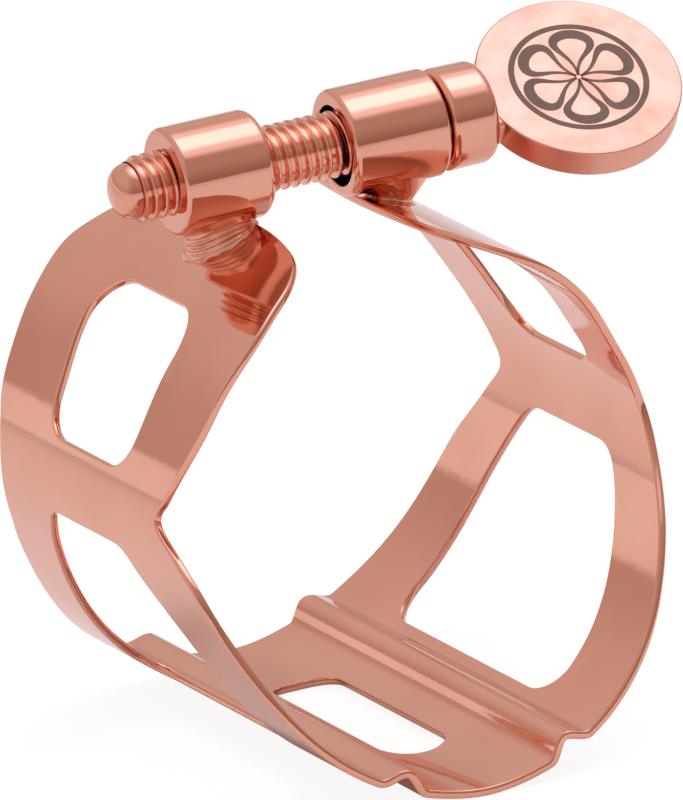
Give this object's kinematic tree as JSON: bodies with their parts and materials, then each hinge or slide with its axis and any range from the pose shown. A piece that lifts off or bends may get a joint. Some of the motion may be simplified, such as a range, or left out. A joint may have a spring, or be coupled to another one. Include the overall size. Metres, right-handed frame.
{
  "type": "saxophone ligature",
  "caption": "Springy windowed metal ring that clamps a reed to a saxophone mouthpiece, drawn shut across its top by one thumbscrew with a round disc head.",
  "frame": {"origin": "on the mouthpiece axis, the axis of the ring, at the middle of the band's length", "axes": "+Y along the mouthpiece axis, +Z from the axis to the thumbscrew, +X along the screw towards its disc head"},
  "size_m": [0.0364, 0.033, 0.0355],
  "materials": {
    "band_plate": "polished rose-gold plate on sheet brass",
    "fitting_plate": "polished rose-gold plate on turned brass",
    "screw_plate": "polished rose-gold plate on a turned brass screw",
    "disc_plate": "fine satin rose-gold plate with a darkened engraved motif"
  },
  "bodies": {
    "right_side": {"band_right": "band_plate", "plain_barrel": "fitting_plate", "plain_barrel_post": "fitting_plate"},
    "left_side": {"band_left": "band_plate", "threaded_barrel": "fitting_plate", "threaded_barrel_post": "fitting_plate"},
    "collar": {"screw_collar": "screw_plate"},
    "screw": {"screw_shaft": "screw_plate", "thumb_disc": "disc_plate"}
  },
  "joints": [
    {"name": "band_flex", "type": "hinge", "parent": "right_side", "child": "left_side", "pos_m": [0, 0, -0.01455], "axis": [0, 1, 0], "range_deg": [-1.65, 3.02]},
    {"name": "screw_advance", "type": "slide", "parent": "left_side", "child": "collar", "axis": [-1, 0, 0], "range_m": [-0.0009, 0.00165]},
    {"name": "screw_turn", "type": "hinge", "parent": "collar", "child": "screw", "pos_m": [0, 0, 0.01695], "axis": [-1, 0, 0], "range_deg": [-541, 991]}
  ],
  "couplings": [
    {"joint": "band_flex", "follows": "screw_advance", "rad_per_m": 31.746},
    {"joint": "screw_turn", "follows": "screw_advance", "rad_per_m": 10472}
  ]
}
